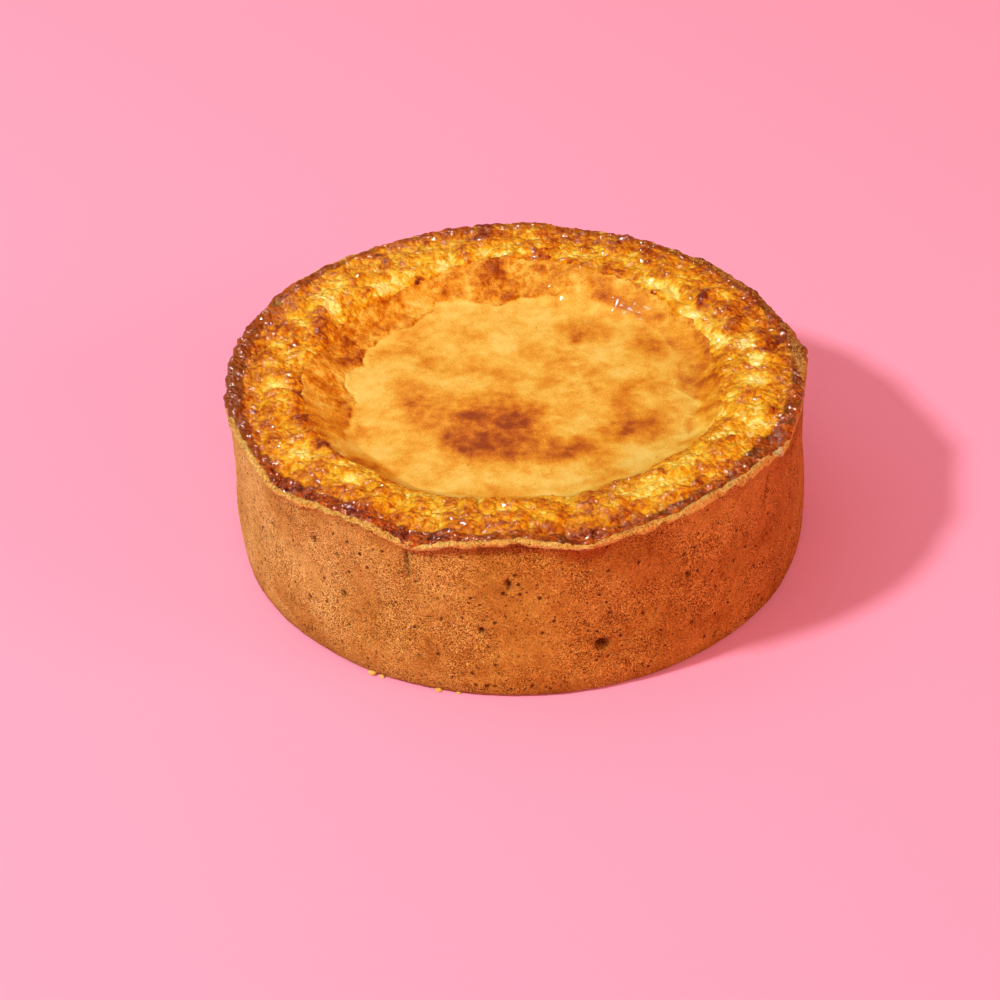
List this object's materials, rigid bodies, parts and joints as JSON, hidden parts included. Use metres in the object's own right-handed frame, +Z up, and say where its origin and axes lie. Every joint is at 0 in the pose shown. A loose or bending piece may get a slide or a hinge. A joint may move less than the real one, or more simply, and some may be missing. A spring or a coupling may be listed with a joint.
{
  "type": "italian cheesecake",
  "caption": "Whole tall round italian cheesecake in a baked pastry shell with a wavy torn rim, its browned craggy cheese top sunken in the middle.",
  "frame": {"origin": "centre of the round underside, on the surface that the cake stands on", "axes": "+Z up through the cake; the front, which the picture shows, faces -Y, and +X is to its right"},
  "size_m": [0.2052, 0.2048, 0.0668],
  "materials": {
    "baked_pastry": "matt golden-brown baked shortcrust, pitted and crumbly",
    "browned_cheese": "baked cheese, golden with brown crags and caramel edges, slightly moist"
  },
  "bodies": {
    "root": {"pastry_shell": "baked_pastry", "cheese_filling": "browned_cheese"}
  },
  "joints": []
}
